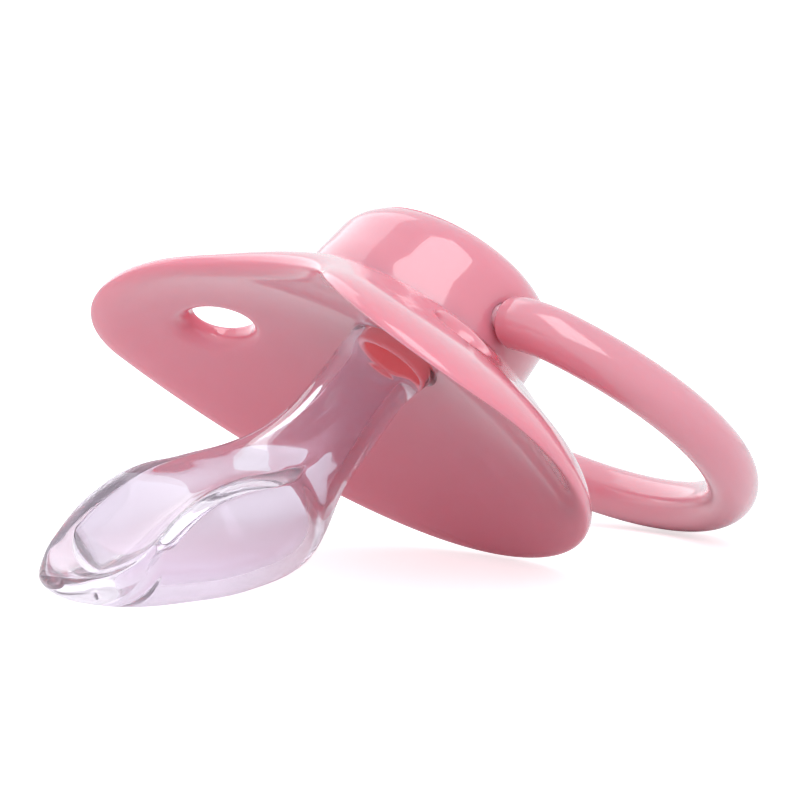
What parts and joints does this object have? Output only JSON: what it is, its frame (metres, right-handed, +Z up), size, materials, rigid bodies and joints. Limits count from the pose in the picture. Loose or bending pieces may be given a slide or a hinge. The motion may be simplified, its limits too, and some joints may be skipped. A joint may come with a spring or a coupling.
{
  "type": "pacifier",
  "caption": "Baby pacifier with a butterfly shield, a soft angled clear teat, a round back knob and a swinging ring handle, lying on its teat and shield rim.",
  "frame": {"origin": "centre of the bounding box in plan, on the surface the pacifier lies on, with the ring at rest on that surface", "axes": "+X along the ring's pivot pins and the long way of the shield, +Y from the teat towards the ring's far end, +Z up"},
  "size_m": [0.0438, 0.0584, 0.0269],
  "materials": {
    "pink_plastic": "polished",
    "ring_plastic": "polished",
    "plug_plastic": "polished",
    "clear_silicone": "clear gloss"
  },
  "bodies": {
    "pacifier": {"shield": "pink_plastic", "teat": "clear_silicone", "teat_plug": "plug_plastic", "knob": "pink_plastic"},
    "handle": {"ring": "ring_plastic"}
  },
  "joints": [
    {"name": "ring_swing", "type": "hinge", "parent": "pacifier", "child": "handle", "pos_m": [0, 0.00387, 0.01879], "axis": [1, 0, 0], "range_deg": [-33, 195]}
  ]
}
